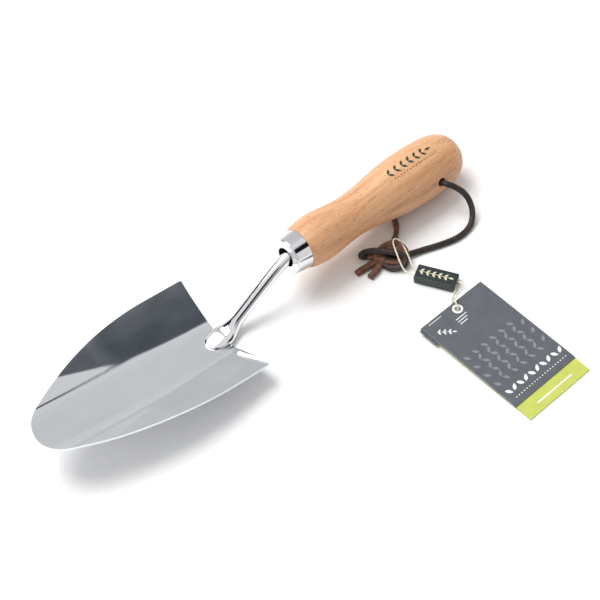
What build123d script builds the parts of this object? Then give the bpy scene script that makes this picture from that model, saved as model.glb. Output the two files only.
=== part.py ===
"""Hand trowel with a stainless scoop, a turned handle, a knotted thong and a swing tag.

Millimetres. The trowel lies on a level surface at z = 0, on the heel of its blade and on the
swell of its handle. +X runs from the blade's tip to the handle's butt, y = 0 is the trowel's
plane of symmetry, and the origin is under the middle of the trowel.
"""
from build123d import *
import math
import os

# ---- Resting pose. In the tool's own frame the handle's axis is X, its butt is at 0 and the
# ---- blade's tip is at -TOOL_LENGTH; distances along the tool are counted from the butt.
TOOL_LENGTH = 320.0
HANDLE_TILT = 6.16  # degrees, nose up
BUTT_X = 160.06
BUTT_Z = 14.96

# ---- Blade: a bent sheet, cut to a rounded point
SHEET = 1.5
TROUGH_RADIUS = 40.0  # inside radius along the middle of the sheet
WALL_SLOPE = 22.0  # degrees, of the flat walls either side of the trough
ROCKER_RADIUS = 1500.0  # gentle lengthwise curve of the sheet
HEEL = (189.8, -34.0)  # distance from the butt, height from the axis, of the trough's back end
HEEL_ANGLE = 3.7  # degrees, lift of the trough towards the tip, at the heel
SHOULDER = 186.6
WIDEST = 213.0
HALF_WIDTH = 41.4
SIDE_RADIUS = 203.0
CORNER_RADIUS = 1.5

# ---- Tang: a round bar with a cranked neck and a flattened foot
BAR_RADIUS = 3.85
TAIL = 72.0  # distance from the butt to the bar's end inside the handle
CRANK = 140.4  # where the neck's line meets the handle's axis
CRANK_RADIUS = 14.0
NECK_SLOPE = 35.8
NECK_END = 180.5
# Foot sections: distance, height, slope of the bar there, half width, half thickness.
FOOT = [
    (NECK_END - 1.5, -27.85, -35.8, BAR_RADIUS, BAR_RADIUS),
    (NECK_END + 0.6, -29.3, -35.0, BAR_RADIUS + 0.15, BAR_RADIUS),
    (186.0, -31.3, -22.0, 5.4, 3.6),
    (191.0, -32.2, -5.0, 8.0, 3.0),
    (196.5, -32.3, 3.0, 7.0, 2.2),
    (201.0, -32.6, 4.0, 3.2, 0.9),
]

# ---- Handle, ferrule and pin
HANDLE_BUTT = 2.3  # the butt's domed end, on the axis
HANDLE_PROFILE = [
    (4.4, 9.4),
    (9.4, 14.2),
    (18.0, 16.9),
    (30.0, 17.8),
    (42.0, 17.9),
    (57.0, 16.9),
    (72.0, 14.7),
    (88.0, 13.1),
    (101.0, 13.7),
    (114.5, 15.0),
    (124.0, 14.4),
]
SEAT = 130.2  # where the ferrule starts
SEAT_RADIUS = 12.75
FERRULE_FACE = 140.7
FERRULE_REAR_RADIUS = 12.45
FERRULE_FRONT_RADIUS = 11.5
FERRULE_WALL = 0.9
FERRULE_HOLE = 6.2
NOSE_RECESS = 4.6
PIN_AT = 133.2
PIN_RADIUS = 1.0
THONG_HOLE = 30.4
THONG_HOLE_RADIUS = 2.9
THONG_HOLE_TURN = 9.0  # degrees about the handle, the near mouth being higher

# ---- Thong: one lace, through the handle and round to an overhand knot
LACE = 3.5
NEAR_LEG = [
    (129.83, 0.0, 18.45),
    (129.83, -18.8, 21.43),
    (134.8, -24.0, 18.6),
    (138.6, -30.6, 13.0),
    (137.0, -37.4, 6.0),
    (129.6, -43.2, 1.95),
    (118.2, -44.4, 1.85),
    (105.6, -40.2, 1.85),
    (94.2, -35.0, 2.0),
    (82.6, -31.2, 3.2),
]
FAR_LEG = [
    (129.83, 0.0, 18.45),
    (129.83, 21.6, 15.03),
    (128.4, 23.6, 10.2),
    (122.5, 24.4, 4.2),
    (113.5, 23.0, 1.85),
    (107.0, 15.5, 1.85),
    (104.6, 4.0, 1.85),
    (100.4, -7.4, 1.85),
    (94.8, -15.0, 1.85),
    (83.0, -22.0, 3.2),
]
TAILS = {
    "thong_tail_long": [(68.4, -19.6, 3.6), (61.6, -21.4, 2.3), (55.4, -20.4, 1.85)],
    "thong_tail_short": [(70.6, -26.2, 3.4), (64.8, -28.4, 2.3), (59.2, -27.6, 1.85)],
}
KNOT_CENTRE = (75.6, -25.2, 4.75)
KNOT_SEMI_AXES = (13.0, 8.8, 4.6)
KNOT_TURN = -46.0

# ---- Tag string
STRING = 1.0
STRING_LOOP = [
    (77.96, -47.61, 3.2),
    (75.2, -42.8, 4.2),
    (75.6, -38.0, 7.4),
    (78.5, -31.6, 9.8),
    (82.4, -24.2, 9.8),
    (86.4, -20.6, 8.2),
    (88.6, -23.4, 7.0),
    (86.9, -28.8, 7.0),
    (83.9, -35.7, 6.8),
    (81.2, -41.3, 5.4),
    (80.8, -46.15, 3.2),
]
STRING_DROP = [
    (92.2, -67.9, 3.7),
    (94.0, -72.4, 4.3),
    (89.3, -75.2, 5.6),
    (83.2, -75.9, 6.1),
    (79.4, -79.3, 6.1),
    (78.1, -83.1, 4.6),
    (77.8, -82.6, 1.25),
    (78.2, -78.0, 1.15),
    (81.6, -73.8, 1.3),
    (86.9, -71.9, 1.8),
    (90.7, -68.7, 2.3),
]

# ---- Seal: a moulded block with a plug in its end
SEAL_SIZE = (25.2, 10.8, 5.4)
SEAL_CENTRE = (85.85, -57.28)
SEAL_TURN = -62.8
SEAL_CLEAR = 0.05  # above the surface it lies on
SEAL_EDGE = 0.7
PLUG_SIZE = (9.0, 3.6, 2.4)
PLUG_OFFSET = -2.6
PLUG_GAP = 0.1

# ---- Swing tag: a folded cover, an insert card and an eyelet
EYELET_AT = (77.8, -82.8)
TAG_LIFT = 2.45  # of the cover's underside at the eyelet
TAG_PITCH = 1.9  # degrees, the eyelet's end being higher
CARD = 0.4
CARD_GAP = 0.6  # between the cover's leaves
COVER_SIDES = (-25.0, 23.9)
COVER_TOP = 5.2
COVER_FOOT = -70.0
FLAP_SIDES = (-26.6, 22.8)
FLAP_FOOT = -9.0
INSERT_SIDES = (-24.8, 23.7)
INSERT_TOP = 3.3
INSERT_FOOT = -81.2
EYELET_BORE = 2.0
EYELET_WALL = 0.35
EYELET_FLANGE = 3.25
EYELET_LIP = 0.35
RUNNING = 0.05


def at_rest(piece):
    """Takes a piece from the tool's frame to where the trowel lies."""
    return Pos(BUTT_X, 0, BUTT_Z) * Rot(0, HANDLE_TILT, 0) * piece


def arc_by_angles(centre, radius, start, end):
    """Arc in the sketch plane, from one angle to another, in degrees."""
    points = []
    for angle in (start, (start + end) / 2, end):
        turn = math.radians(angle)
        points.append((centre[0] + radius * math.cos(turn), centre[1] + radius * math.sin(turn)))
    return ThreePointArc(*points)


def blade_outline():
    """Plan of the blade, looking along the tool frame's Z."""
    run = TOOL_LENGTH - WIDEST
    drop = SIDE_RADIUS - HALF_WIDTH
    tip_radius = (SIDE_RADIUS**2 - run**2 - drop**2) / (2 * (SIDE_RADIUS - run))
    lean = math.degrees(math.atan2(drop, run - tip_radius))
    with BuildSketch() as outline:
        with BuildLine():
            arc_by_angles((-WIDEST, -drop), SIDE_RADIUS, 90, 180 - lean)
            arc_by_angles((tip_radius - TOOL_LENGTH, 0), tip_radius, 180 - lean, 180 + lean)
            arc_by_angles((-WIDEST, drop), SIDE_RADIUS, 180 + lean, 270)
            Line((-WIDEST, -HALF_WIDTH), (-SHOULDER, -HALF_WIDTH))
            ThreePointArc((-SHOULDER, -HALF_WIDTH), (-HEEL[0], 0), (-SHOULDER, HALF_WIDTH))
            Line((-SHOULDER, HALF_WIDTH), (-WIDEST, HALF_WIDTH))
        make_face()
        corners = outline.vertices().sort_by(Axis.X)[-2:]
        fillet(corners, CORNER_RADIUS)
    return outline.sketch


def trough(depth_below):
    """The bent sheet's section, swept along its gentle lengthwise curve."""
    lift = math.radians(HEEL_ANGLE)
    heel = Vector(-HEEL[0], 0, HEEL[1])
    along = Vector(-math.cos(lift), 0, math.sin(lift))
    up = Vector(math.sin(lift), 0, math.cos(lift))
    centre = heel + up * ROCKER_RADIUS
    slope = math.radians(WALL_SLOPE)
    reach = 52.0
    bend = TROUGH_RADIUS * math.sin(slope)
    bend_height = TROUGH_RADIUS * (1 - math.cos(slope))
    rim = bend_height + (reach - bend) * math.tan(slope)
    outer = TROUGH_RADIUS + depth_below
    low_bend = outer * math.sin(slope)
    low_bend_height = TROUGH_RADIUS - outer * math.cos(slope)
    low_rim = (reach + depth_below * math.sin(slope), rim - depth_below * math.cos(slope))
    plane = Plane(origin=heel, x_dir=(0, 1, 0), z_dir=along)
    side = 1 if plane.y_dir.dot(up) > 0 else -1
    with BuildSketch(plane) as section:
        with BuildLine():
            ThreePointArc((-bend, side * bend_height), (0, 0), (bend, side * bend_height))
            Line((bend, side * bend_height), (reach, side * rim))
            Line((reach, side * rim), (low_rim[0], side * low_rim[1]))
            Line((low_rim[0], side * low_rim[1]), (low_bend, side * low_bend_height))
            ThreePointArc(
                (low_bend, side * low_bend_height),
                (0, -side * depth_below),
                (-low_bend, side * low_bend_height),
            )
            Line((-low_bend, side * low_bend_height), (-low_rim[0], side * low_rim[1]))
            Line((-low_rim[0], side * low_rim[1]), (-reach, side * rim))
            Line((-reach, side * rim), (-bend, side * bend_height))
        make_face()
    axis = Axis(centre, (0, 1, 0))
    forward = revolve(section.sketch, axis, revolution_arc=5.6)
    backward = revolve(section.sketch, axis, revolution_arc=-0.4)
    return forward + backward


def blade():
    prism = Pos(0, 0, -60) * extrude(blade_outline(), 60)
    return trough(SHEET) & prism


def tang():
    """Round bar from inside the handle to the blade, with its foot lying in the trough."""
    slope = math.radians(NECK_SLOPE)
    neck_end = (-NECK_END, 0, -(NECK_END - CRANK) * math.tan(slope))
    path = FilletPolyline((-TAIL, 0, 0), (-CRANK, 0, 0), neck_end, radius=CRANK_RADIUS)
    start = Plane(origin=(-TAIL, 0, 0), z_dir=(-1, 0, 0))
    bar = sweep(start * Circle(BAR_RADIUS), path)
    sections = []
    for distance, height, angle, half_width, half_thickness in FOOT:
        turn = math.radians(angle)
        plane = Plane(
            origin=(-distance, 0, height),
            x_dir=(0, 1, 0),
            z_dir=(-math.cos(turn), 0, math.sin(turn)),
        )
        sections.append(plane * Ellipse(half_width, half_thickness))
    foot = loft(sections)
    under_sheet = trough(20.0) & (Pos(0, 0, -80) * extrude(blade_outline(), 80))
    return bar + (foot - under_sheet) - pin()


def handle():
    """Turned grip, with a spigot for the ferrule, a bore for the bar and a hole for the thong."""
    profile = [(-distance, radius) for distance, radius in HANDLE_PROFILE]
    inner_rear = FERRULE_REAR_RADIUS - FERRULE_WALL
    inner_front = FERRULE_FRONT_RADIUS - FERRULE_WALL
    nose = 1.0 - FERRULE_FACE
    with BuildSketch() as section:
        with BuildLine():
            Spline(
                [(-HANDLE_BUTT, 0), *profile, (-SEAT, SEAT_RADIUS)],
                tangents=[(0, 1), (-0.9, -0.4)],
                tangent_scalars=[1, 1],
            )
            Polyline(
                (-SEAT, SEAT_RADIUS),
                (-SEAT, inner_rear),
                (nose, inner_front),
                (nose, FERRULE_HOLE),
                (nose + NOSE_RECESS, FERRULE_HOLE),
                (nose + NOSE_RECESS, BAR_RADIUS),
                (-TAIL, BAR_RADIUS),
                (-TAIL, 0),
                (-HANDLE_BUTT, 0),
            )
        make_face()
    grip = revolve(Plane.XZ * section.sketch, Axis.X)
    across = Rot(90 - THONG_HOLE_TURN, 0, 0)
    hole = Pos(-THONG_HOLE, 0, 0) * across * Cylinder(THONG_HOLE_RADIUS, 60)
    return grip - hole - pin()


def ferrule():
    """Tapered cap over the handle's nose, open round the bar."""
    inner_rear = FERRULE_REAR_RADIUS - FERRULE_WALL
    inner_front = FERRULE_FRONT_RADIUS - FERRULE_WALL
    nose = 1.0 - FERRULE_FACE
    edge = 1.0
    with BuildSketch() as section:
        with BuildLine():
            Polyline(
                (-SEAT, inner_rear),
                (-SEAT, FERRULE_REAR_RADIUS - 0.2),
                (-SEAT - 0.2, FERRULE_REAR_RADIUS),
                (edge - FERRULE_FACE, FERRULE_FRONT_RADIUS),
            )
            RadiusArc(
                (edge - FERRULE_FACE, FERRULE_FRONT_RADIUS),
                (-FERRULE_FACE, FERRULE_FRONT_RADIUS - edge),
                -edge,
            )
            Polyline(
                (-FERRULE_FACE, FERRULE_FRONT_RADIUS - edge),
                (-FERRULE_FACE, FERRULE_HOLE),
                (nose, FERRULE_HOLE),
                (nose, inner_front),
                (-SEAT, inner_rear),
            )
        make_face()
    return revolve(Plane.XZ * section.sketch, Axis.X) - pin()


def pin():
    """Cross pin through the ferrule, the nose and the bar, with low domed ends."""
    half = FERRULE_REAR_RADIUS - 0.3
    body = Pos(-PIN_AT, 0, 0) * Rot(90, 0, 0) * Cylinder(PIN_RADIUS, 2 * half)
    ends = body.edges().filter_by(GeomType.CIRCLE)
    return fillet(ends, 0.3)


def cord(points, diameter, label):
    """A round cord along straight runs joined by the largest arcs that they allow."""
    corners = [Vector(*p) for p in points]
    radii = []
    for before, here, after in zip(corners, corners[1:], corners[2:]):
        turn = math.radians((here - before).get_angle(after - here))
        shorter = min((here - before).length, (after - here).length)
        radii.append(0.45 * shorter / math.tan(turn / 2))
    path = FilletPolyline(*corners, radius=radii)
    start = Plane(origin=corners[0], z_dir=corners[1] - corners[0])
    tube = sweep(start * Circle(diameter / 2), path)
    expected = math.pi * diameter**2 / 4 * path.length
    print(
        label,
        "length",
        round(path.length, 1),
        "volume ratio",
        round(tube.volume / expected, 4),
        "radii",
        [round(r, 1) for r in radii],
    )
    return tube


def knot():
    """Outer shape of the overhand knot."""
    ball = scale(Sphere(1.0), by=KNOT_SEMI_AXES)
    return Pos(*KNOT_CENTRE) * Rot(0, 0, KNOT_TURN) * ball


def place_seal(piece):
    return Pos(*SEAL_CENTRE, SEAL_CLEAR + SEAL_SIZE[2] / 2) * Rot(0, 0, SEAL_TURN) * piece


def seal_body():
    block = Box(*SEAL_SIZE)
    block = fillet(block.edges(), SEAL_EDGE)
    socket_size = (PLUG_SIZE[0] + 0.6, PLUG_SIZE[1] + 2 * PLUG_GAP, PLUG_SIZE[2] + 2 * PLUG_GAP)
    socket = Pos((socket_size[0] - SEAL_SIZE[0]) / 2, PLUG_OFFSET, 0) * Box(*socket_size)
    return place_seal(block - socket)


def seal_plug():
    """Barbed plug on the string's end, with a collar that touches the socket all round."""
    shank = Box(PLUG_SIZE[0], PLUG_SIZE[1] - 1.0, PLUG_SIZE[2] - 0.8)
    collar = Box(1.2, PLUG_SIZE[1] + 2 * PLUG_GAP, PLUG_SIZE[2] + 2 * PLUG_GAP)
    plug = shank + Pos((1.2 - PLUG_SIZE[0]) / 2, 0, 0) * collar
    for step in (-1.2, 1.2, 3.6):
        barb = Pos(step, 0, 0) * Box(0.8, PLUG_SIZE[1], PLUG_SIZE[2])
        plug += barb
    return place_seal(Pos((PLUG_SIZE[0] - SEAL_SIZE[0]) / 2, PLUG_OFFSET, 0) * plug)


def place_tag(piece):
    return Pos(*EYELET_AT, TAG_LIFT) * Rot(TAG_PITCH, 0, 0) * piece


def card_box(sides, top, foot, low, thickness):
    width = sides[1] - sides[0]
    middle = ((sides[0] + sides[1]) / 2, (top + foot) / 2, low + thickness / 2)
    return Pos(*middle) * Box(width, top - foot, thickness)


def tag_cover():
    """Front leaf, fold and short rear flap, punched for the eyelet."""
    fold_radius = CARD + CARD_GAP / 2
    fold_at = COVER_TOP - fold_radius
    front = card_box(COVER_SIDES, fold_at, COVER_FOOT, CARD + CARD_GAP, CARD)
    flap = card_box(FLAP_SIDES, fold_at, FLAP_FOOT, 0, CARD)
    width = COVER_SIDES[1] - COVER_SIDES[0]
    tube = Cylinder(fold_radius, width) - Cylinder(CARD_GAP / 2, width)
    middle = (COVER_SIDES[0] + COVER_SIDES[1]) / 2
    tube = Pos(middle, fold_at, fold_radius) * Rot(0, 90, 0) * tube
    keep = Pos(middle, fold_at + 5, fold_radius) * Box(width, 10, 10)
    punch = Cylinder(EYELET_BORE + EYELET_WALL, 10)
    return place_tag(front + flap + (tube & keep) - punch)


def tag_insert():
    card = card_box(INSERT_SIDES, INSERT_TOP, INSERT_FOOT, CARD + (CARD_GAP - CARD) / 2, CARD)
    return place_tag(card - Cylinder(EYELET_BORE + EYELET_WALL + RUNNING, 10))


def tag_eyelet():
    """Barrel through all the cards, rolled over into a lip on each side."""
    top = 2 * CARD + CARD_GAP
    barrel_outside = EYELET_BORE + EYELET_WALL
    barrel = Pos(0, 0, top / 2) * Cylinder(barrel_outside, top + 2 * EYELET_LIP)
    upper = Pos(0, 0, top + EYELET_LIP / 2) * Cylinder(EYELET_FLANGE, EYELET_LIP)
    lower = Pos(0, 0, -EYELET_LIP / 2) * Cylinder(EYELET_FLANGE, EYELET_LIP)
    upper = fillet(upper.edges().group_by(Axis.Z)[-1], 0.3)
    lower = fillet(lower.edges().group_by(Axis.Z)[0], 0.3)
    return place_tag(barrel + upper + lower - Pos(0, 0, top / 2) * Cylinder(EYELET_BORE, 10))


def all_parts():
    parts = {
        "blade": at_rest(blade()),
        "tang": at_rest(tang()),
        "handle": at_rest(handle()),
        "ferrule": at_rest(ferrule()),
        "ferrule_pin": at_rest(pin()),
        "thong_near_leg": cord(NEAR_LEG, LACE, "thong_near_leg"),
        "thong_far_leg": cord(FAR_LEG, LACE, "thong_far_leg"),
        "thong_knot": knot(),
    }
    for name, points in TAILS.items():
        parts[name] = cord(points, LACE, name)
    parts["string_loop"] = cord(STRING_LOOP, STRING, "string_loop")
    parts["string_drop"] = cord(STRING_DROP, STRING, "string_drop")
    parts["seal_body"] = seal_body()
    parts["seal_plug"] = seal_plug()
    parts["tag_cover"] = tag_cover()
    parts["tag_insert"] = tag_insert()
    parts["tag_eyelet"] = tag_eyelet()
    return parts


os.makedirs("parts", exist_ok=True)
for name, piece in all_parts().items():
    export_step(piece, f"parts/{name}.step")
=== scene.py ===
import math

import bmesh
import bpy
from mathutils import Matrix, Vector, noise
from mathutils.bvhtree import BVHTree


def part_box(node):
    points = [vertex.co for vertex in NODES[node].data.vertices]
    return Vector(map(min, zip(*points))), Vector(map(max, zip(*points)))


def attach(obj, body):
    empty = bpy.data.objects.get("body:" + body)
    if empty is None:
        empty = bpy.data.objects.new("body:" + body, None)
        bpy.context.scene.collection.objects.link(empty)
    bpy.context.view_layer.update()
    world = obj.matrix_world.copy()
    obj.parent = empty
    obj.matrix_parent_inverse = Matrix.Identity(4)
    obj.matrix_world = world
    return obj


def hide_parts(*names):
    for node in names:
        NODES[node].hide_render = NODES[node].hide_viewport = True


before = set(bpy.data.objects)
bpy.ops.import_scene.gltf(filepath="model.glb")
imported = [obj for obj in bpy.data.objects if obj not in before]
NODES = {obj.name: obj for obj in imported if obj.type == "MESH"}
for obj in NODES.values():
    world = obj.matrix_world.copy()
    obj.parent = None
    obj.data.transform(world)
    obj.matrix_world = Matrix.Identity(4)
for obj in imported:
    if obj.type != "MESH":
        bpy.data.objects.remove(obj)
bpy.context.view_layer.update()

MM = 0.001

# The trowel's pose and the blade's form, as the CAD has them, in millimetres and degrees.
TILT = math.radians(6.16)
BUTT = Vector((160.06, 0.0, 14.96)) * MM
ALONG = Vector((-math.cos(TILT), 0.0, math.sin(TILT)))
ACROSS = Vector((0.0, 1.0, 0.0))
ABOVE = Vector((math.sin(TILT), 0.0, math.cos(TILT)))
TIP = 320.0
SHEET = 1.5
TROUGH_RADIUS = 40.0
WALL_SLOPE = math.radians(22.0)
ROCKER_RADIUS = 1500.0
HEEL = (189.8, -34.0)
HEEL_LIFT = math.radians(3.7)
SHOULDER = 186.6
WIDEST = 213.0
HALF_WIDTH = 41.4
SIDE_RADIUS = 203.0
# The wall opens out a little in two bands, which start and end at these distances from the middle.
BESIDE_START = 12.0
BESIDE_END = 17.2
BEND_START = 18.0
RELIEF_SLOPE = 0.072
BAR = 7.7

# Cord routes, in millimetres, with the same points as the CAD's tubes.
NEAR_LEG = [
    (129.83, 0.0, 18.45),
    (129.83, -18.8, 21.43),
    (134.8, -24.0, 18.6),
    (138.6, -30.6, 13.0),
    (137.0, -37.4, 6.0),
    (129.6, -43.2, 1.95),
    (118.2, -44.4, 1.85),
    (105.6, -40.2, 1.85),
    (94.2, -35.0, 2.0),
    (82.6, -31.2, 3.2),
]
FAR_LEG = [
    (129.83, 0.0, 18.45),
    (129.83, 21.6, 15.03),
    (128.4, 23.6, 10.2),
    (122.5, 24.4, 4.2),
    (113.5, 23.0, 1.85),
    (107.0, 15.5, 1.85),
    (104.6, 4.0, 1.85),
    (100.4, -7.4, 1.85),
    (94.8, -15.0, 1.85),
    (83.0, -22.0, 3.2),
]
CORNER_STEPS = 4
# The knot: each end of the lace goes round and through, and comes out as a tail.
NEAR_STRAND = [
    (86.0, -32.6, 2.6),
    (80.6, -31.0, 2.7),
    (76.4, -26.6, 2.7),
    (73.4, -21.4, 2.8),
    (69.4, -17.0, 3.1),
    (65.4, -14.6, 3.9),
    (65.0, -13.9, 5.6),
    (68.6, -15.4, 6.9),
    (73.6, -20.4, 7.6),
    (77.6, -26.0, 7.8),
    (81.2, -31.2, 7.2),
    (82.4, -35.4, 5.4),
    (79.6, -37.6, 3.4),
    (75.0, -35.2, 2.3),
    (71.4, -31.4, 2.1),
    (71.4, -26.6, 2.1),
]
SHORT_TAIL = [
    (73.0, -24.6, 2.6),
    (69.8, -26.0, 2.3),
    (65.0, -27.6, 2.1),
    (59.2, -28.4, 2.0),
]
FAR_STRAND = [
    (90.6, -17.4, 2.0),
    (85.4, -21.4, 2.2),
    (78.2, -24.4, 2.8),
    (71.6, -23.6, 2.8),
    (70.4, -20.6, 3.8),
    (75.8, -19.4, 5.4),
    (82.7, -20.0, 6.0),
    (87.2, -23.4, 5.6),
    (86.8, -29.6, 5.0),
    (83.4, -34.6, 4.4),
    (78.3, -34.6, 3.0),
    (74.1, -28.4, 2.2),
    (70.2, -22.9, 2.1),
    (62.0, -21.2, 2.0),
    (55.6, -20.8, 1.85),
]
INNER_TURN = [
    (67.8, -17.2, 3.2),
    (71.6, -19.6, 4.0),
    (76.8, -22.2, 4.8),
    (81.4, -24.2, 5.4),
    (84.0, -28.0, 5.0),
    (82.4, -31.8, 4.4),
    (78.4, -33.4, 3.4),
]
STRING_LOOP = [
    (77.96, -47.61, 3.2),
    (75.2, -42.8, 4.2),
    (75.6, -38.0, 7.4),
    (78.5, -31.6, 9.8),
    (82.4, -24.2, 9.8),
    (86.4, -20.6, 8.2),
    (88.6, -23.4, 7.0),
    (86.9, -28.8, 7.0),
    (83.9, -35.7, 6.8),
    (81.2, -41.3, 5.4),
    (80.8, -46.15, 3.2),
]
STRING_DROP = [
    (92.2, -67.9, 3.7),
    (94.0, -72.4, 4.3),
    (89.3, -75.2, 5.6),
    (83.2, -75.9, 6.1),
    (79.4, -79.3, 6.1),
    (78.1, -83.1, 4.6),
    (77.8, -82.6, 1.25),
    (78.2, -78.0, 1.15),
    (81.6, -73.8, 1.3),
    (86.9, -71.9, 1.8),
    (90.7, -68.7, 2.3),
]

# The tag's frame: its pivot is on the underside of the cover, at the eyelet.
TAG_PIVOT = Vector((77.8, -82.8, 2.45)) * MM
TAG_PITCH = math.radians(1.9)
COVER_FACE = 1.4
INSERT_FACE = 0.9
SEAL_CENTRE = Vector((85.85, -57.28, 0.0)) * MM
SEAL_TURN = math.radians(-62.8)


# ---------------------------------------------------------------- helpers


def tool(b, y, d):
    """A point of the trowel: along from the butt, across, and above the handle's axis, in mm."""
    return BUTT + ALONG * (b * MM) + ACROSS * (y * MM) + ABOVE * (d * MM)


def linked(obj):
    bpy.context.scene.collection.objects.link(obj)
    return obj


def mesh_object(name, vertices, faces, smooth=True):
    mesh = bpy.data.meshes.new(name)
    mesh.from_pydata([tuple(v) for v in vertices], [], faces)
    mesh.polygons.foreach_set("use_smooth", [smooth] * len(mesh.polygons))
    mesh.update()
    return linked(bpy.data.objects.new(name, mesh))


def finished(name, work):
    """The object of a bmesh that is done with, with its faces turned outwards."""
    bmesh.ops.recalc_face_normals(work, faces=work.faces)
    mesh = bpy.data.meshes.new(name)
    work.to_mesh(mesh)
    work.free()
    return linked(bpy.data.objects.new(name, mesh))


def tidy_normals(obj):
    work = bmesh.new()
    work.from_mesh(obj.data)
    bmesh.ops.recalc_face_normals(work, faces=work.faces)
    work.to_mesh(obj.data)
    work.free()


def paint(obj, *materials):
    obj.data.materials.clear()
    for material in materials:
        obj.data.materials.append(material)


def repaint_node(name, material):
    """Gives a CAD node a material, leaving its mesh alone."""
    for place in NODES[name].material_slots:
        place.material = material


# ---------------------------------------------------------------- materials


class Nodes:
    """A small wrapper that keeps node set-up to one line for each node."""

    def __init__(self, name):
        self.material = bpy.data.materials.new(name)
        self.material.use_nodes = True
        self.tree = self.material.node_tree
        self.shader = self.tree.nodes["Principled BSDF"]

    def add(self, kind, settings=None, **inputs):
        node = self.tree.nodes.new(kind)
        for key, value in (settings or {}).items():
            setattr(node, key, value)
        for key, value in inputs.items():
            self.put(node.inputs[key.replace("_", " ")], value)
        return node

    def put(self, socket, value):
        if isinstance(value, bpy.types.NodeSocket):
            self.tree.links.new(value, socket)
        else:
            socket.default_value = value

    def set(self, **inputs):
        for key, value in inputs.items():
            self.put(self.shader.inputs[key.replace("_", " ")], value)

    def coordinates(self, scale, turn=(0.0, 0.0, 0.0)):
        place = self.add("ShaderNodeTexCoord").outputs["Object"]
        mapping = self.add("ShaderNodeMapping", Vector=place, Rotation=turn, Scale=scale)
        return mapping.outputs["Vector"]

    def noise(self, vector, scale, detail=4.0, roughness=0.55):
        node = self.add(
            "ShaderNodeTexNoise",
            Vector=vector,
            Scale=scale,
            Detail=detail,
            Roughness=roughness,
        )
        return node.outputs["Fac"]

    def spread(self, value, low, high, out_low=0.0, out_high=1.0):
        node = self.add("ShaderNodeMapRange")
        self.put(node.inputs["Value"], value)
        self.put(node.inputs["From Min"], low)
        self.put(node.inputs["From Max"], high)
        self.put(node.inputs["To Min"], out_low)
        self.put(node.inputs["To Max"], out_high)
        return node.outputs["Result"]

    def ramp(self, value, *stops):
        node = self.add("ShaderNodeValToRGB", Fac=value)
        band = node.color_ramp
        while len(band.elements) < len(stops):
            band.elements.new(0.5)
        for element, (place, colour) in zip(band.elements, stops):
            element.position = place
            element.color = (*colour, 1.0)
        return node.outputs["Color"]

    def mix(self, share, first, second, blend="MIX"):
        node = self.add("ShaderNodeMix", {"data_type": "RGBA", "blend_type": blend})
        self.put(node.inputs[0], share)
        self.put(node.inputs[6], first)
        self.put(node.inputs[7], second)
        return node.outputs[2]

    def bump(self, height, distance, strength=1.0):
        node = self.add("ShaderNodeBump", Height=height, Distance=distance, Strength=strength)
        self.set(Normal=node.outputs["Normal"])


def steel(name, tint, roughness, grain_turn=0.0, grain=0.00001):
    """Polished stainless: fine lengthwise polishing lines, and faint smears in its gloss."""
    n = Nodes(name)
    lines = n.noise(n.coordinates((60.0, 5200.0, 5200.0), (0.0, grain_turn, 0.0)), 1.0, 3.0)
    smears = n.noise(n.coordinates((28.0, 60.0, 60.0)), 1.0, 3.0)
    tone = n.spread(smears, 0.3, 0.7, 0.94, 1.0)
    shade = n.add("ShaderNodeCombineColor")
    for channel, part in zip(("Red", "Green", "Blue"), tint):
        scaled = n.add("ShaderNodeMath", {"operation": "MULTIPLY"})
        n.put(scaled.inputs[0], tone)
        n.put(scaled.inputs[1], part)
        n.put(shade.inputs[channel], scaled.outputs[0])
    n.set(Base_Color=shade.outputs["Color"], Metallic=1.0)
    n.set(Roughness=n.spread(smears, 0.3, 0.7, roughness * 0.8, roughness * 1.3))
    n.bump(lines, grain, 0.6)
    return n.material


def beech():
    """Oiled beech: warm straight grain, soft bands, short dark flecks along the grain, and painted
    shade on its front end inside the ferrule.
    """
    n = Nodes("beech")
    turn = (0.0, -TILT, 0.0)
    warp = n.noise(n.coordinates((9.0, 60.0, 60.0), turn), 1.0, 2.0)
    bands = n.noise(n.coordinates((14.0, 230.0, 230.0), turn), 1.0, 5.0, 0.6)
    fibre = n.noise(n.coordinates((120.0, 2300.0, 2300.0), turn), 1.0, 4.0, 0.7)
    flecks = n.noise(n.coordinates((330.0, 1150.0, 1150.0), turn), 1.0, 2.0, 0.5)
    base = n.ramp(
        bands,
        (0.30, (0.500, 0.222, 0.100)),
        (0.50, (0.650, 0.335, 0.166)),
        (0.72, (0.760, 0.440, 0.238)),
    )
    wide = n.mix(n.spread(warp, 0.35, 0.7, 0.0, 0.45), base, (0.760, 0.455, 0.245, 1.0))
    fine = n.mix(n.spread(fibre, 0.45, 0.75, 0.0, 0.35), wide, (0.40, 0.19, 0.09, 1.0))
    spot = n.spread(flecks, 0.60, 0.72, 0.0, 0.62)
    flecked = n.mix(spot, fine, (0.265, 0.110, 0.048, 1.0))
    # Painted shade: the wood's front end, inside the ferrule's seat, is mixed to near black so the
    # ferrule's hole reads as a shaded recess.
    axis = n.add("ShaderNodeSeparateXYZ", Vector=n.coordinates((1.0, 1.0, 1.0), turn))
    painted_ferrule_shade = n.spread(axis.outputs["X"], 0.0215, 0.0240, 1.0, 0.0)
    n.set(Base_Color=n.mix(painted_ferrule_shade, flecked, (0.012, 0.010, 0.009, 1.0)))
    n.set(Roughness=n.spread(fibre, 0.3, 0.8, 0.42, 0.58))
    n.set(Coat_Weight=0.12, Coat_Roughness=0.35, Specular_IOR_Level=0.4)
    dents = n.mix(0.5, fibre, spot)
    n.bump(dents, 0.00006, 0.35)
    return n.material


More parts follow.
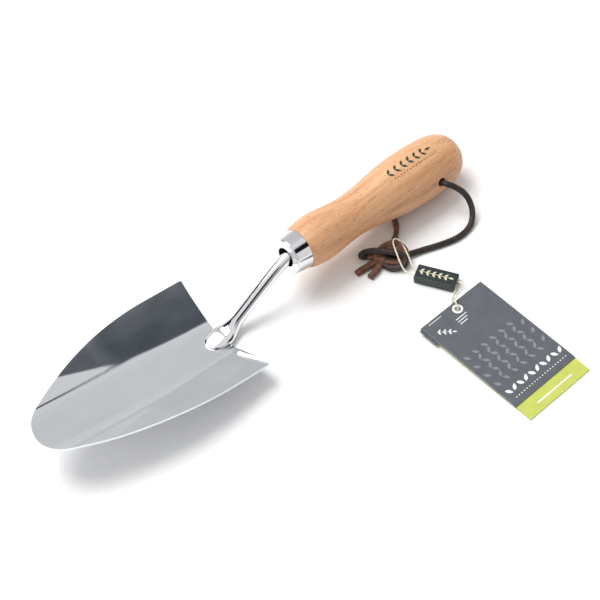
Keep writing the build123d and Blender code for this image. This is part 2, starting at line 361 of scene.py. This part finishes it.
def leather(name, dark, light, roughness):
    """Leather lace: pebbled grain, wear that shows the brown below the finish."""
    n = Nodes(name)
    place = n.coordinates((1.0, 1.0, 1.0))
    grain = n.noise(place, 2600.0, 4.0, 0.6)
    wear = n.noise(place, 330.0, 3.0)
    n.set(Base_Color=n.ramp(wear, (0.42, dark), (0.78, light)))
    n.set(Roughness=n.spread(grain, 0.3, 0.7, roughness, roughness + 0.2))
    n.set(Specular_IOR_Level=0.45)
    n.bump(grain, 0.00018, 0.6)
    return n.material


def twine():
    """Waxed cotton: fine fibres and slightly uneven cream colour."""
    n = Nodes("twine")
    place = n.coordinates((1.0, 1.0, 1.0))
    fibre = n.noise(place, 6500.0, 3.0, 0.7)
    tone = n.noise(place, 420.0, 2.0)
    n.set(Base_Color=n.ramp(tone, (0.3, (0.74, 0.68, 0.50)), (0.7, (0.90, 0.86, 0.74))))
    n.set(Roughness=0.75, Sheen_Weight=0.3, Sheen_Roughness=0.5)
    n.bump(fibre, 0.00012, 0.7)
    return n.material


def moulded(name, dark, light, roughness, coat=0.0):
    """Moulded plastic: an orange-peel skin and a slightly clouded colour."""
    n = Nodes(name)
    place = n.coordinates((1.0, 1.0, 1.0))
    cloud = n.noise(place, 240.0, 3.0)
    peel = n.noise(place, 1700.0, 2.0)
    n.set(Base_Color=n.ramp(cloud, (0.3, dark), (0.7, light)))
    n.set(Roughness=n.spread(cloud, 0.3, 0.7, roughness, roughness + 0.08))
    n.set(Coat_Weight=coat, Coat_Roughness=0.12)
    n.bump(peel, 0.00004, 0.5)
    return n.material


def card(name, dark, light, roughness=0.55):
    """Printed card: paper fibres under ink, with a faint mottle."""
    n = Nodes(name)
    place = n.coordinates((1.0, 1.0, 1.0))
    fibre = n.noise(place, 1500.0, 5.0, 0.7)
    mottle = n.noise(place, 160.0, 4.0, 0.6)
    n.set(Base_Color=n.ramp(mottle, (0.35, dark), (0.65, light)))
    n.set(Roughness=n.spread(fibre, 0.3, 0.7, roughness, roughness + 0.15))
    n.set(Specular_IOR_Level=0.4)
    n.bump(fibre, 0.00003, 0.5)
    return n.material


# ---------------------------------------------------------------- blade


def pan_rim(y):
    """Height of the sheet's inside face over the trough's bottom, at a distance from its middle."""
    bend = TROUGH_RADIUS * math.sin(WALL_SLOPE)
    y = abs(y)
    if y < bend:
        return TROUGH_RADIUS - math.sqrt(TROUGH_RADIUS**2 - y * y)
    return TROUGH_RADIUS * (1 - math.cos(WALL_SLOPE)) + (y - bend) * math.tan(WALL_SLOPE)


def eased(value, low, high):
    share = min(1.0, max(0.0, (value - low) / (high - low)))
    return share * share * (3 - 2 * share)


def wall_relief(b, y):
    """How far the wall opens out: beside the trough, and past the bend towards the tip."""
    run = max(0.0, b - HEEL[0])
    beside = min(BESIDE_END, BESIDE_START + 0.5 + 0.0917 * run)
    line = BEND_START + 0.257 * max(0.0, run - 60.0)
    opened = eased(run, 52.0, 74.0)
    near_bend = max(0.0, min(abs(y), beside) - BESIDE_START)
    past_bend = max(0.0, min(abs(y), line) - BEND_START)
    return RELIEF_SLOPE * (near_bend + opened * past_bend)


def sheet_point(b, y):
    """Point of the sheet's inside face under a place in the plan, turned along the rocker."""
    reach = ROCKER_RADIUS - pan_rim(y) + wall_relief(b, y)
    lean = (b - HEEL[0]) / reach
    for _ in range(4):
        ahead = reach * math.sin(lean) * math.cos(HEEL_LIFT)
        sunk = (ROCKER_RADIUS - reach * math.cos(lean)) * math.sin(HEEL_LIFT)
        lean += (b - HEEL[0] - ahead + sunk) / reach
    rise = (ROCKER_RADIUS - reach * math.cos(lean)) * math.cos(HEEL_LIFT)
    rise += reach * math.sin(lean) * math.sin(HEEL_LIFT)
    return tool(b, y, HEEL[1] + rise)


def half_width(b):
    """Half the blade's width: straight to the widest place, a long side arc, then the tip's arc."""
    run = TIP - WIDEST
    drop = SIDE_RADIUS - HALF_WIDTH
    tip_radius = (SIDE_RADIUS**2 - run**2 - drop**2) / (2 * (SIDE_RADIUS - run))
    if b <= WIDEST:
        return HALF_WIDTH
    lean = math.atan2(drop, run - tip_radius)
    join = WIDEST + SIDE_RADIUS * math.cos(lean)
    if b <= join:
        return math.sqrt(SIDE_RADIUS**2 - (b - WIDEST) ** 2) - drop
    return math.sqrt(max(0.0, tip_radius**2 - (b - TIP + tip_radius) ** 2))


def make_blade(material):
    """Two faces of the sheet and the rim between them, with closer rows and columns at the edges."""
    rows = 150
    columns = 96
    crowding = 0.94
    back_arc = HEEL[0] - SHOULDER
    vertices = []
    under = []
    for i in range(rows + 1):
        share = i / rows
        run = 1 - (1 - share) ** 2
        b = SHOULDER + (TIP - 0.03 - SHOULDER) * run
        width = half_width(b)
        if i == 0:
            width -= 0.5
        for j in range(columns + 1):
            v = math.sin((2 * j / columns - 1) * math.pi / 2 * crowding)
            v /= math.sin(math.pi / 2 * crowding)
            bow = back_arc * (1 - v * v) * (1 - run) ** 2
            vertices.append(sheet_point(b + bow, v * width))
            slope = min(WALL_SLOPE, math.asin(min(1.0, abs(v * width) / TROUGH_RADIUS)))
            under.append(vertices[-1] - ABOVE * (SHEET * MM / math.cos(slope)))
    faces = []
    total = len(vertices)
    for i in range(rows):
        for j in range(columns):
            a = i * (columns + 1) + j
            quad = (a, a + 1, a + columns + 2, a + columns + 1)
            faces.append(quad)
            faces.append(tuple(total + k for k in (quad[0], quad[3], quad[2], quad[1])))
    border = list(range(columns + 1))
    border += [(i + 1) * (columns + 1) + columns for i in range(rows)]
    border += [rows * (columns + 1) + columns - 1 - j for j in range(columns)]
    border += [i * (columns + 1) for i in range(rows - 1, 0, -1)]
    for a, c in zip(border, border[1:] + border[:1]):
        faces.append((a, total + a, total + c, c))
    obj = mesh_object("blade_sheet", vertices + under, faces)
    tidy_normals(obj)
    edge = obj.modifiers.new("rounded rim", "BEVEL")
    edge.width = 0.3 * MM
    edge.segments = 3
    edge.limit_method = "ANGLE"
    edge.angle_limit = math.radians(50)
    edge.harden_normals = True
    paint(obj, material)
    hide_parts("blade")
    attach(obj, "root")


def make_tang(material):
    """Round bar that eases out of the ferrule, slopes down and spreads into a flat foot."""
    control = [
        (72.0, 0.0),
        (130.0, 0.0),
        (141.2, 0.0),
        (178.0, -26.6),
        (185.6, -31.6),
        (193.0, -32.3),
        (201.2, -32.7),
    ]
    route = route_points([tuple(tool(b, 0.0, d) / MM) for b, d in control])
    line = resample(route, 0.5 * MM)
    sides = 40
    vertices = []
    for point, (_, side, up) in zip(line, frames_along(line, ABOVE)):
        b = (point - BUTT).dot(ALONG) / MM
        wide, thick = bar_section(b)
        for j in range(sides):
            angle = 2 * math.pi * j / sides
            across = side * wide * math.cos(angle) + up * thick * math.sin(angle)
            vertices.append(point + across * MM)
    faces = []
    for i in range(len(line) - 1):
        for j in range(sides):
            k = (j + 1) % sides
            a = i * sides
            faces.append((a + j, a + k, a + sides + k, a + sides + j))
    faces.append(tuple(range(sides)))
    faces.append(tuple((len(line) - 1) * sides + j for j in range(sides)))
    obj = mesh_object("tang_bar", vertices, faces)
    tidy_normals(obj)
    paint(obj, material)
    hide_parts("tang")
    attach(obj, "root")


def bar_section(b):
    """Half width and half thickness of the bar and of its foot, at a distance from the butt."""
    widest = 190.5
    if b < widest:
        wide = BAR / 2 + 4.0 * eased(b, 177.0, widest)
        return wide, BAR / 2 - 0.85 * eased(b, 180.0, widest)
    past = min(1.0, (b - widest) / 10.8)
    return 0.3 + 7.55 * math.sqrt(1 - past * past), 3.0 - 2.6 * past**1.6


# ---------------------------------------------------------------- cords


def route_curve(name, points):
    curve = bpy.data.curves.new(name, "CURVE")
    curve.dimensions = "3D"
    curve.resolution_u = 16
    spline = curve.splines.new("NURBS")
    spline.points.add(len(points) - 1)
    for place, point in zip(spline.points, points):
        place.co = (*(Vector(point) * MM), 1.0)
    spline.order_u = 3
    spline.use_endpoint_u = True
    return linked(bpy.data.objects.new(name, curve))


def route_points(points):
    """The smooth line of a route, evenly spaced, read from its NURBS spline."""
    obj = route_curve("route", points)
    line = bpy.data.meshes.new_from_object(obj)
    raw = [v.co.copy() for v in line.vertices]
    bpy.data.objects.remove(obj)
    bpy.data.meshes.remove(line)
    return raw


def resample(line, step):
    lengths = [0.0]
    for a, b in zip(line, line[1:]):
        lengths.append(lengths[-1] + (b - a).length)
    count = max(2, round(lengths[-1] / step))
    out = []
    k = 0
    for i in range(count + 1):
        want = lengths[-1] * i / count
        while k < len(line) - 2 and lengths[k + 1] < want:
            k += 1
        span = lengths[k + 1] - lengths[k] or 1.0
        out.append(line[k].lerp(line[k + 1], (want - lengths[k]) / span))
    return out


def frames_along(line, first_up):
    """Tangent, side and up at each point, carried along without twist."""
    up = Vector(first_up)
    out = []
    for i in range(len(line)):
        tangent = (line[min(i + 1, len(line) - 1)] - line[max(i - 1, 0)]).normalized()
        up = (up - tangent * up.dot(tangent)).normalized()
        out.append((tangent, up.cross(tangent).normalized(), up.copy()))
    return out


def sweep_ring(name, line, ring, frames, face_material):
    """Closed mesh tube: a ring of (side, up) offsets in metres carried along a line."""
    vertices = []
    for point, (_, side, up) in zip(line, frames):
        vertices += [point + side * s + up * u for s, u in ring]
    size = len(ring)
    faces = []
    for i in range(len(line) - 1):
        for j in range(size):
            k = (j + 1) % size
            faces.append((i * size + j, i * size + k, (i + 1) * size + k, (i + 1) * size + j))
    sides = len(faces)
    faces.append(tuple(range(size)))
    faces.append(tuple(sides + j for j in range(size)))
    obj = mesh_object(name, vertices, faces)
    for i, polygon in enumerate(obj.data.polygons):
        polygon.material_index = face_material(i % size) if i < sides else 1
    tidy_normals(obj)
    return obj


def lace_ring(width, height):
    """Rounded rectangle; its four flats are the lace's grain side, flesh side and cut edges."""
    w = width / 2
    h = height / 2
    r = 0.32 * min(width, height)
    ring = []
    for quarter in range(4):
        cx = (w - r) * (1 if quarter in (0, 3) else -1)
        cy = (h - r) * (1 if quarter in (0, 1) else -1)
        for s in range(CORNER_STEPS + 1):
            angle = math.pi / 2 * (quarter + s / CORNER_STEPS)
            ring.append((cx + r * math.cos(angle), cy + r * math.sin(angle)))
    return ring


def lace_side(j):
    """Material of one side of the ring: 0 on the dark grain side, 1 on the brown rest."""
    return 0 if CORNER_STEPS - 1 <= j < CORNER_STEPS + 3 else 1


def lace_mesh(name, points, grain, flesh, first_up, width=3.45, height=2.9):
    line = resample(route_points(points), 0.45 * MM)
    frames = frames_along(line, first_up)
    ring = [(s * MM, u * MM) for s, u in lace_ring(width, height)]
    obj = sweep_ring(name, line, ring, frames, lace_side)
    for vertex in obj.data.vertices:
        shift = noise.noise(vertex.co * 900.0) * 0.07 * MM
        vertex.co += Vector((shift, -shift, 0.4 * shift))
    paint(obj, grain, flesh)
    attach(obj, "root")
    return obj, line


def make_thong(grain, flesh):
    overhead = (0.0, 0.0, 1.0)
    for name, points, upper in (
        ("thong_near_leg", NEAR_LEG, grain),
        ("thong_far_leg", FAR_LEG, flesh),
    ):
        obj, line = lace_mesh(name + "_lace", points, upper, flesh, overhead)
        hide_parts(name)
    near, _ = lace_mesh("knot_near_strand", NEAR_STRAND, grain, flesh, overhead, 3.9, 3.4)
    far, _ = lace_mesh("knot_far_strand", FAR_STRAND, flesh, flesh, overhead, 4.0, 3.4)
    lace_mesh("knot_inner_turn", INNER_TURN, flesh, flesh, overhead, 3.9, 3.4)
    lace_mesh("knot_short_tail", SHORT_TAIL, flesh, flesh, overhead, 3.9, 3.4)
    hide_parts("thong_knot", "thong_tail_short")
    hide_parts("thong_tail_long")


def twisted_string(name, points, node, material):
    """Two plies laid round each other along the route."""
    line = resample(route_points(points), 0.16 * MM)
    frames = frames_along(line, (0.3, 0.2, 1.0))
    lay_length = 2.4 * MM
    ply = 0.32 * MM
    offset = 0.22 * MM
    sides = 8
    vertices = []
    faces = []
    rings = len(line)
    for strand in range(2):
        walked = 0.0
        for i, (point, (_, side, up)) in enumerate(zip(line, frames)):
            if i:
                walked += (point - line[i - 1]).length
            turn = 2 * math.pi * walked / lay_length + strand * math.pi
            centre = point + (side * math.cos(turn) + up * math.sin(turn)) * offset
            for j in range(sides):
                angle = 2 * math.pi * j / sides
                vertices.append(centre + (side * math.cos(angle) + up * math.sin(angle)) * ply)
        base = strand * rings * sides
        for i in range(rings - 1):
            for j in range(sides):
                k = (j + 1) % sides
                a = base + i * sides
                faces.append((a + j, a + k, a + sides + k, a + sides + j))
        faces.append(tuple(base + j for j in range(sides)))
        faces.append(tuple(base + (rings - 1) * sides + j for j in range(sides)))
    obj = mesh_object(name, vertices, faces)
    tidy_normals(obj)
    paint(obj, material)
    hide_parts(node)
    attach(obj, "root")


# ---------------------------------------------------------------- prints and raised motifs


def leaf_outline(length, width, steps=9):
    """Pointed oval from its stalk at the origin to its tip on +X."""
    side = []
    for i in range(steps + 1):
        t = i / steps
        side.append((length * t, width / 2 * math.sin(math.pi * t) ** 0.8 * (1.12 - 0.3 * t)))
    lower = [(x, -y) for x, y in reversed(side[1:-1])]
    return side + lower


def place_outline(outline, x, y, turn):
    c = math.cos(turn)
    s = math.sin(turn)
    return [(x + c * u - s * v, y + s * u + c * v) for u, v in outline]


def shifted(outline, x, y):
    return [(x + u, y + v) for u, v in outline]


def disc_outline(radius, steps=20):
    turns = [2 * math.pi * i / steps for i in range(steps)]
    return [(radius * math.cos(a), radius * math.sin(a)) for a in turns]


def bar_outline(length, width):
    return [(0, -width / 2), (length, -width / 2), (length, width / 2), (0, width / 2)]


def plates(name, outlines, low, high):
    """Flat plates in a local plane, in mm, between two heights."""
    work = bmesh.new()
    for outline in outlines:
        face = work.faces.new([work.verts.new((x, y, low)) for x, y in outline])
        if face.normal.z < 0:
            face.normal_flip()
    work.normal_update()
    grown = bmesh.ops.extrude_face_region(work, geom=work.faces[:])
    lifted = [v for v in grown["geom"] if isinstance(v, bmesh.types.BMVert)]
    bmesh.ops.translate(work, verts=lifted, vec=(0, 0, high - low))
    obj = finished(name, work)
    obj.data.transform(Matrix.Scale(MM, 4))
    return obj


def in_tag(obj):
    place = Matrix.Translation(TAG_PIVOT) @ Matrix.Rotation(TAG_PITCH, 4, "X")
    obj.data.transform(place)
    return obj


def foliage():
    """A plain repeat of small leaves, in staggered rows across the lower part of the card."""
    outlines = []
    for row in range(7):
        lean = math.radians(50 if row % 2 else 130)
        for column in range(6):
            x = -19.5 + 7.0 * column + 3.5 * (row % 2)
            outlines.append(place_outline(leaf_outline(4.6, 2.0), x, -30.0 - 4.0 * row, lean))
    return outlines


def sprig(scale, pairs=3):
    """A stem with pairs of leaves and one at its end, along +X."""
    outlines = [bar_outline(scale * pairs, scale * 0.09)]
    for i in range(pairs):
        for side in (-1, 1):
            outline = leaf_outline(scale * 0.8, scale * 0.34)
            outlines.append(place_outline(outline, scale * (i + 0.25), 0.0, side * 0.85))
    outlines.append(place_outline(leaf_outline(scale * 0.8, scale * 0.36), scale * pairs, 0.0, 0.0))
    return outlines


def make_tag_prints(pale, white):
    face = COVER_FACE
    leaves = plates("cover_foliage", foliage(), face, face + 0.03)
    paint(in_tag(leaves), pale)
    lean = math.radians(-40)
    emblem = [place_outline(outline, -20.5, -3.4, lean) for outline in sprig(3.1)]
    emblem.append(shifted(bar_outline(10.0, 0.35), -20.5, 3.0))
    for i in range(3):
        emblem.append(shifted(bar_outline(8.6 - 1.4 * i, 0.55), -6.5, -5.0 - 1.9 * i))
    for i in range(10):
        lean = 0.9 if i % 2 else -0.9
        leaf = leaf_outline(4.8, 2.2)
        emblem.append(place_outline(leaf, -21.5 + 4.6 * i, -60.2 - 1.9 * lean, lean))
    for i in range(20):
        emblem.append(shifted(disc_outline(0.42, 10), -19.5 + 2.1 * i, -65.6))
    marks = plates("cover_marks", emblem, face + 0.035, face + 0.07)
    paint(in_tag(marks), white)
    stripe = shifted(bar_outline(28.0, 0.9), -14.0, -76.2)
    strip = plates("insert_mark", [stripe], INSERT_FACE, INSERT_FACE + 0.03)
    edging = [(-24.95, -69.9), (-24.6, -69.9), (-24.6, 4.4), (-24.95, 4.4)]
    hem = plates("cover_hem", [edging], face, face + 0.03)
    paint(in_tag(hem), pale)
    paint(in_tag(strip), white)
    for obj, body in ((leaves, "tag"), (marks, "tag"), (hem, "tag"), (strip, "insert")):
        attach(obj, body)


def make_seal_motif(material):
    """Raised cream sprig on the seal's face, in place of any lettering."""
    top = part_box("seal_body")[1][2] / MM
    outlines = [shifted(outline, -10.8, 0.3) for outline in sprig(3.7, 5)]
    obj = plates("seal_motif", outlines, top - 0.05, top + 0.22)
    obj.data.transform(Matrix.Translation(SEAL_CENTRE) @ Matrix.Rotation(SEAL_TURN, 4, "Z"))
    edge = obj.modifiers.new("soft edge", "BEVEL")
    edge.width = 0.06 * MM
    edge.segments = 2
    paint(obj, material)
    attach(obj, "root")


def make_seal_ribs(material):
    """Three moulded ribs along the seal's long sides."""
    vertices = []
    faces = []
    for side in (-1, 1):
        for low in (1.15, 2.45, 3.75):
            start = len(vertices)
            for x in (-11.4, 11.4):
                for y, z in ((5.3, low), (5.3, low + 0.7), (5.6, low + 0.55), (5.6, low + 0.15)):
                    vertices.append((x, side * y, z))
            for i in range(4):
                k = (i + 1) % 4
                faces.append((start + i, start + k, start + 4 + k, start + 4 + i))
            faces.append((start, start + 1, start + 2, start + 3))
            faces.append((start + 4, start + 5, start + 6, start + 7))
    obj = mesh_object("seal_ribs", [Vector(v) * MM for v in vertices], faces, smooth=False)
    tidy_normals(obj)
    obj.data.transform(Matrix.Translation(SEAL_CENTRE) @ Matrix.Rotation(SEAL_TURN, 4, "Z"))
    paint(obj, material)
    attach(obj, "root")


def make_handle_print(material):
    """Stamped sprig and dots on the grip, laid on the wood's own surface."""
    wood = NODES["handle"]
    tree = BVHTree.FromPolygons(
        [v.co.copy() for v in wood.data.vertices],
        [tuple(p.vertices) for p in wood.data.polygons],
    )
    outlines = [shifted(outline, -18.0, 0.0) for outline in sprig(5.3, 6)]
    for i in range(15):
        outlines.append(shifted(disc_outline(0.42, 10), -15.0 + 2.4 * i, -5.2))
    middle = 44.0
    turn = math.radians(86)
    radius = 17.9

    def on_wood(x, y, lift):
        angle = turn + y / radius
        origin = tool(middle - x, 0.0, 0.0)
        way = -ACROSS * math.cos(angle) + ABOVE * math.sin(angle)
        hit = tree.ray_cast(origin + way * 0.04, -way)
        return hit[0] + way * lift * MM

    work = bmesh.new()
    for outline in outlines:
        top = [work.verts.new(on_wood(x, y, 0.04)) for x, y in outline]
        low = [work.verts.new(on_wood(x, y, -0.03)) for x, y in outline]
        work.faces.new(top)
        work.faces.new(low[::-1])
        for i in range(len(top)):
            k = (i + 1) % len(top)
            work.faces.new((top[k], top[i], low[i], low[k]))
    obj = finished("handle_print", work)
    paint(obj, material)
    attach(obj, "root")


# ---------------------------------------------------------------- camera, floor and light


def make_camera():
    yaw = math.radians(-37.07)
    pitch = math.radians(51.97)
    roll = math.radians(-6.31)
    look = Vector(
        (-math.sin(yaw) * math.cos(pitch), math.cos(yaw) * math.cos(pitch), -math.sin(pitch))
    )
    level = Vector((math.cos(yaw), math.sin(yaw), 0.0))
    rise = level.cross(look)
    right = level * math.cos(roll) + rise * math.sin(roll)
    up = rise * math.cos(roll) - level * math.sin(roll)
    data = bpy.data.cameras.new("camera")
    data.sensor_width = 36.0
    data.lens = 102.33
    data.clip_start = 0.01
    camera = bpy.data.objects.new("camera", data)
    camera.matrix_world = Matrix.Translation((-0.35514, -0.50581, 0.79383)) @ Matrix(
        (
            (right.x, up.x, -look.x, 0.0),
            (right.y, up.y, -look.y, 0.0),
            (right.z, up.z, -look.z, 0.0),
            (0.0, 0.0, 0.0, 1.0),
        )
    )
    bpy.context.scene.camera = linked(camera)


def make_floor():
    half = 4.0
    corners = [(-half, -half, 0), (half, -half, 0), (half, half, 0), (-half, half, 0)]
    floor = mesh_object("floor", [Vector(c) for c in corners], [(0, 1, 2, 3)], smooth=False)
    n = Nodes("studio_floor")
    n.set(Base_Color=(0.93, 0.93, 0.93, 1.0), Roughness=0.95, Specular_IOR_Level=0.0)
    paint(floor, n.material)


def make_world():
    """Pale studio all round, with soft darker flags that the polished steel reflects."""
    world = bpy.data.worlds.new("studio")
    bpy.context.scene.world = world
    world.use_nodes = True
    tree = world.node_tree
    back = tree.nodes["Background"]
    way = tree.nodes.new("ShaderNodeTexCoord").outputs["Generated"]
    value = None
    # Each flag: the way to its middle, its outer and inner half angles in degrees, and its level.
    flags = (
        ((0.72, -0.42, 0.55), 27.6, 24.8, 0.095),
        ((0.38, -0.60, 0.70), 13.0, 10.0, 0.03),
        ((-0.42, 0.77, 0.48), 21.0, 16.0, 0.04),
        ((-0.51, -0.60, 0.62), 16.0, 13.0, 0.02),
        ((-0.25, -0.92, 0.25), 36.0, 12.0, 0.50),
        ((0.58, 0.52, 0.63), 40.0, 22.0, 0.78),
        ((0.55, 0.83, 0.05), 9.0, 6.5, 0.70),
    )
    for direction, outer, inner, level in flags:
        dot = tree.nodes.new("ShaderNodeVectorMath")
        dot.operation = "DOT_PRODUCT"
        dot.inputs[1].default_value = Vector(direction).normalized()
        tree.links.new(way, dot.inputs[0])
        fade = tree.nodes.new("ShaderNodeMapRange")
        fade.interpolation_type = "SMOOTHSTEP"
        fade.inputs["From Min"].default_value = math.cos(math.radians(outer))
        fade.inputs["From Max"].default_value = math.cos(math.radians(inner))
        fade.inputs["To Min"].default_value = 1.0
        fade.inputs["To Max"].default_value = level
        tree.links.new(dot.outputs["Value"], fade.inputs["Value"])
        if value is None:
            value = fade.outputs["Result"]
        else:
            join = tree.nodes.new("ShaderNodeMath")
            join.operation = "MULTIPLY"
            tree.links.new(value, join.inputs[0])
            tree.links.new(fade.outputs["Result"], join.inputs[1])
            value = join.outputs[0]
    shade = tree.nodes.new("ShaderNodeCombineColor")
    for channel, bend in (("Red", 1.07), ("Green", 1.0), ("Blue", 0.93)):
        cool = tree.nodes.new("ShaderNodeMath")
        cool.operation = "POWER"
        cool.inputs[1].default_value = bend
        tree.links.new(value, cool.inputs[0])
        tree.links.new(cool.outputs[0], shade.inputs[channel])
    tree.links.new(shade.outputs["Color"], back.inputs["Color"])
    back.inputs["Strength"].default_value = 0.88


def area_light(name, place, target, size, power):
    data = bpy.data.lights.new(name, "AREA")
    data.shape = "RECTANGLE"
    data.size, data.size_y = size
    data.energy = power
    light = bpy.data.objects.new(name, data)
    light.location = place
    aim = Vector(target) - Vector(place)
    light.rotation_euler = aim.to_track_quat("-Z", "Y").to_euler()
    linked(light)


def make_light():
    make_world()
    area_light("key", (-0.18, 0.75, 1.50), (0.0, -0.03, 0.0), (1.2, 1.1), 27.0)
    view = bpy.context.scene.view_settings
    view.view_transform = "Standard"
    view.look = "None"


# ---------------------------------------------------------------- assembly


def main():
    make_camera()
    make_floor()
    make_light()
    grain = leather("lace_grain", (0.012, 0.008, 0.007), (0.060, 0.030, 0.020), 0.42)
    flesh = leather("lace_edge", (0.110, 0.045, 0.026), (0.240, 0.115, 0.070), 0.6)
    cream = twine()
    make_thong(grain, flesh)
    twisted_string(
        "string_loop_twine", STRING_LOOP, "string_loop", cream
    )
    twisted_string("string_drop_twine", STRING_DROP, "string_drop", cream)
    make_blade(steel("blade_steel_polish", (0.80, 0.81, 0.83), 0.085, -TILT))
    make_tang(steel("bar_steel_polish", (0.82, 0.82, 0.83), 0.06, -TILT))
    bright = steel("ferrule_steel_polish", (0.77, 0.77, 0.78), 0.07, -TILT)
    repaint_node("ferrule", bright)
    repaint_node("ferrule_pin", bright)
    repaint_node("handle", beech())
    green = moulded("seal_green", (0.004, 0.011, 0.012), (0.008, 0.019, 0.020), 0.25, 0.2)
    repaint_node("seal_body", green)
    make_seal_ribs(green)
    ivory = moulded("ivory_plastic", (0.62, 0.58, 0.42), (0.72, 0.68, 0.54), 0.45)
    repaint_node("seal_plug", ivory)
    repaint_node("tag_cover", card("cover_slate", (0.088, 0.096, 0.110), (0.102, 0.112, 0.127)))
    repaint_node("tag_insert", card("insert_lime", (0.500, 0.550, 0.100), (0.550, 0.600, 0.120)))
    white = moulded("eyelet_white", (0.80, 0.79, 0.74), (0.86, 0.85, 0.80), 0.25, 0.3)
    repaint_node("tag_eyelet", white)
    make_tag_prints(
        card("print_pale_grey", (0.190, 0.205, 0.225), (0.225, 0.240, 0.262)),
        card("print_white", (0.76, 0.77, 0.78), (0.84, 0.85, 0.86)),
    )
    make_seal_motif(ivory)
    make_handle_print(card("print_green", (0.012, 0.030, 0.018), (0.03, 0.055, 0.035), 0.6))


main()
